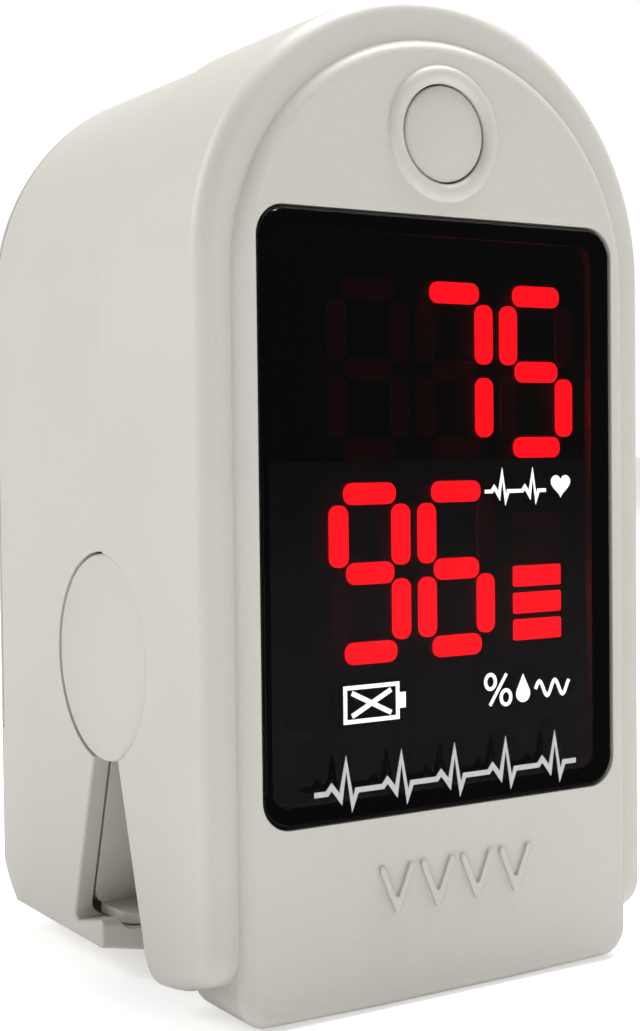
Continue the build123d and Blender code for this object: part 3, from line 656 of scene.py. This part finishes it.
def finger_pad(name, half, root, top, material):
    """Soft pad from its root depth to its top depth, with the skin as a closed mesh."""
    towards = 1 if top > root else -1
    low = PAD_LOW + PAD_FIT
    apex = PAD_ARCH_Z + half - PAD_TIP_CUT
    bm = bmesh.new()
    skins = []
    for share in pad_rows():
        z = low + (apex - low) * share
        wide = half_width(half, z)
        row = []
        for j in range(PAD_COLUMNS + 1):
            x = wide * math.sin(math.pi / 2 * (2 * j / PAD_COLUMNS - 1))
            depth = top - towards * pad_drop(half, top, x, z)
            row.append((x, depth, z))
        skins.append(row)
    front = [[bm.verts.new((x * MM, FACE_Y + d * MM, z * MM)) for x, d, z in row] for row in skins]
    rear = [[bm.verts.new((x * MM, FACE_Y + root * MM, z * MM)) for x, _, z in row] for row in skins]
    rows = len(skins)
    for i in range(rows - 1):
        for j in range(PAD_COLUMNS):
            bm.faces.new((front[i][j], front[i][j + 1], front[i + 1][j + 1], front[i + 1][j]))
            bm.faces.new((rear[i][j], rear[i + 1][j], rear[i + 1][j + 1], rear[i][j + 1]))
        for j in (0, PAD_COLUMNS):
            bm.faces.new((front[i][j], front[i + 1][j], rear[i + 1][j], rear[i][j]))
    for i in (0, rows - 1):
        for j in range(PAD_COLUMNS):
            bm.faces.new((front[i][j], front[i][j + 1], rear[i][j + 1], rear[i][j]))
    pad = make_piece(name, bm, material)
    for face in pad.data.polygons:
        face.use_smooth = True
    return pad


def cut_lens_hole(pad):
    """Cut the square hole that the clear window looks through."""
    bm = bmesh.new()
    place = Matrix.Translation((0, FACE_Y + FINGER_DEPTH * MM, LENS_Z * MM))
    size = Matrix.Diagonal((2 * LENS_HALF * MM, CUTTER_LENGTH * MM, 2 * LENS_HALF * MM, 1))
    bmesh.ops.create_cube(bm, size=1, matrix=place @ size)
    corners = [edge for edge in bm.edges if abs(edge.verts[0].co.y - edge.verts[1].co.y) > MM]
    bmesh.ops.bevel(bm, geom=corners, offset=LENS_CORNER * MM, segments=4, affect="EDGES")
    cutter = make_piece("lens_cutter", bm, pad.data.materials[0])
    hole = pad.modifiers.new("lens_hole", "BOOLEAN")
    hole.operation = "DIFFERENCE"
    hole.solver = "EXACT"
    hole.object = cutter
    bpy.context.view_layer.update()
    cut = bpy.data.meshes.new_from_object(pad.evaluated_get(bpy.context.evaluated_depsgraph_get()))
    pad.modifiers.clear()
    pad.data = cut
    bpy.data.objects.remove(cutter)


def add_pads():
    """Both finger pads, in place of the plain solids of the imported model."""
    material = silicone()
    group = bpy.data.node_groups["smooth_skin"]
    for name, node, body, half, root, top in (
        ("front_pad_skin", "front_finger_pad", "front_half", 12.4, 8.95, 13.0),
        ("rear_pad_skin", "rear_finger_pad", "rear_half", 11.2, 17.5, 13.75),
    ):
        pad = finger_pad(name, half, root, top, material)
        cut_lens_hole(pad)
        smooth(pad, group)
        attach(pad, body)
        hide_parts(node)


# ---------------------------------------------------------------- floor, light and camera


# How bright the white room is: for its light, in reflections, and to the camera.
ROOM_LIGHT = 0.48
ROOM_GLOSS = 0.07
ROOM_SEEN = 1.0
# Fitted to the photograph: the camera's place in millimetres, and yaw, pitch and roll in degrees.
CAMERA_PLACE = (-58.23, -94.12, 31.53)
CAMERA_TURN = (31.86, -1.87, -0.66)


def add_floor():
    bm = bmesh.new()
    bmesh.ops.create_grid(bm, x_segments=8, y_segments=8, size=6)
    shader = Shader("floor")
    shade = shader.ramp(shader.noise(6, 3), 0.3, 0.7, (0.86, 0.86, 0.86), (0.88, 0.88, 0.88))
    shader.link(shade, shader.bsdf.inputs["Base Color"])
    shader.set(Roughness=0.7, Specular_IOR_Level=0.1, Emission_Strength=0.4)
    shader.bsdf.inputs["Emission Color"].default_value = (1, 1, 1, 1)
    floor = make_piece("floor", bm, shader.material)
    floor.location.z = -0.00002
    floor.visible_glossy = False


def add_light(name, place, size, power):
    """Soft square lamp, aimed at the middle of the object."""
    lamp = bpy.data.lights.new(name, "AREA")
    lamp.size = size
    lamp.energy = power
    piece = bpy.data.objects.new(name, lamp)
    piece.location = place
    middle = (cad_low + cad_high) / 2
    piece.rotation_mode = "QUATERNION"
    piece.rotation_quaternion = (middle - Vector(place)).to_track_quat("-Z", "Y")
    bpy.context.scene.collection.objects.link(piece)


def add_world():
    """White room whose gloss is dimmer than its light, as in a light tent with dark gaps."""
    world = bpy.data.worlds.new("room")
    bpy.context.scene.world = world
    world.use_nodes = True
    nodes = world.node_tree.nodes
    links = world.node_tree.links
    plain = nodes["Background"]
    dim = nodes.new("ShaderNodeBackground")
    seen = nodes.new("ShaderNodeBackground")
    for node, strength in ((plain, ROOM_LIGHT), (dim, ROOM_GLOSS), (seen, ROOM_SEEN)):
        node.inputs["Color"].default_value = (1, 1, 1, 1)
        node.inputs["Strength"].default_value = strength
    path = nodes.new("ShaderNodeLightPath")
    first = nodes.new("ShaderNodeMixShader")
    second = nodes.new("ShaderNodeMixShader")
    links.new(path.outputs["Is Glossy Ray"], first.inputs[0])
    links.new(plain.outputs[0], first.inputs[1])
    links.new(dim.outputs[0], first.inputs[2])
    links.new(path.outputs["Is Camera Ray"], second.inputs[0])
    links.new(first.outputs[0], second.inputs[1])
    links.new(seen.outputs[0], second.inputs[2])
    links.new(second.outputs[0], nodes["World Output"].inputs["Surface"])


def add_camera():
    """Camera close to the object, a little left of the display and at mid height."""
    data = bpy.data.cameras.new("camera")
    data.sensor_width = 36
    data.lens = 58.95
    data.shift_x = 0.0118
    data.shift_y = -0.0055
    data.clip_start = 0.005
    data.clip_end = 10
    camera = bpy.data.objects.new("camera", data)
    camera.location = [MM * place for place in CAMERA_PLACE]
    yaw, pitch, roll = (math.radians(angle) for angle in CAMERA_TURN)
    ahead = Vector((math.sin(yaw) * math.cos(pitch), math.cos(yaw) * math.cos(pitch), math.sin(pitch)))
    level = Vector((math.cos(yaw), -math.sin(yaw), 0))
    upright = level.cross(ahead)
    right = math.cos(roll) * level + math.sin(roll) * upright
    up = math.cos(roll) * upright - math.sin(roll) * level
    camera.rotation_mode = "QUATERNION"
    camera.rotation_quaternion = Matrix((right, up, -ahead)).transposed().to_quaternion()
    bpy.context.scene.collection.objects.link(camera)
    bpy.context.scene.camera = camera


finish_nodes(cad_finishes())
add_prints()
add_pads()
add_floor()
add_world()
add_light("top_right", (0.14, 0.03, 0.46), 0.30, 4.6)
add_light("left_side", (-0.36, 0.26, 0.30), 0.30, 1.3)
add_camera()
bpy.context.scene.view_settings.view_transform = "Standard"
